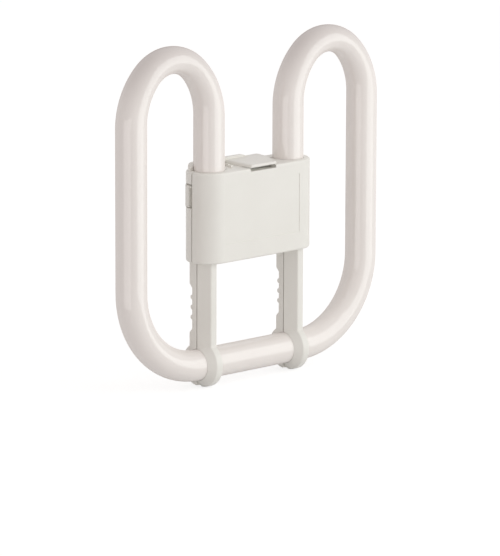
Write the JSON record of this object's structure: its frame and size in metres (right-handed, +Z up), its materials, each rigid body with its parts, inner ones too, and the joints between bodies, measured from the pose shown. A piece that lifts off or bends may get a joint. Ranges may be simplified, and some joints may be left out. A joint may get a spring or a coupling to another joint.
{
  "type": "two-d fluorescent lamp",
  "caption": "Flat two-d fluorescent lamp: a white glass tube bent into side-by-side loops, in a moulded cap with a recessed pin contact block behind and arms that clasp the tube.",
  "frame": {"origin": "on the floor of the contact recess at the back of the cap, midway between the contact pins", "axes": "+X to the lamp's right seen from the front, +Y out of the back along the contact pins, +Z up towards the crowns of the tube's loops; the front faces -Y"},
  "size_m": [0.138, 0.0278, 0.1416],
  "materials": {
    "coated_glass": "smooth glass, white from the powder coating inside",
    "cap_plastic": "fine satin moulding",
    "pin_brass": "turned, bright",
    "clear_glass": "clear bottle",
    "dipped_resin": "dipped resin",
    "lead_sleeve": "plain sleeve",
    "tinned_crimp": "tinned",
    "silicone": "matte silicone"
  },
  "bodies": {
    "root": {"glass_tube": "coated_glass", "front_cover": "cap_plastic", "rear_housing": "cap_plastic", "left_contact_pin": "pin_brass", "right_contact_pin": "pin_brass", "starter_switch": "clear_glass", "suppression_capacitor": "dipped_resin", "left_pin_lead": "lead_sleeve", "right_pin_lead": "lead_sleeve", "left_starter_lead": "lead_sleeve", "right_starter_lead": "lead_sleeve", "left_crimp": "tinned_crimp", "right_crimp": "tinned_crimp", "left_tube_seal": "silicone", "right_tube_seal": "silicone"}
  },
  "joints": []
}
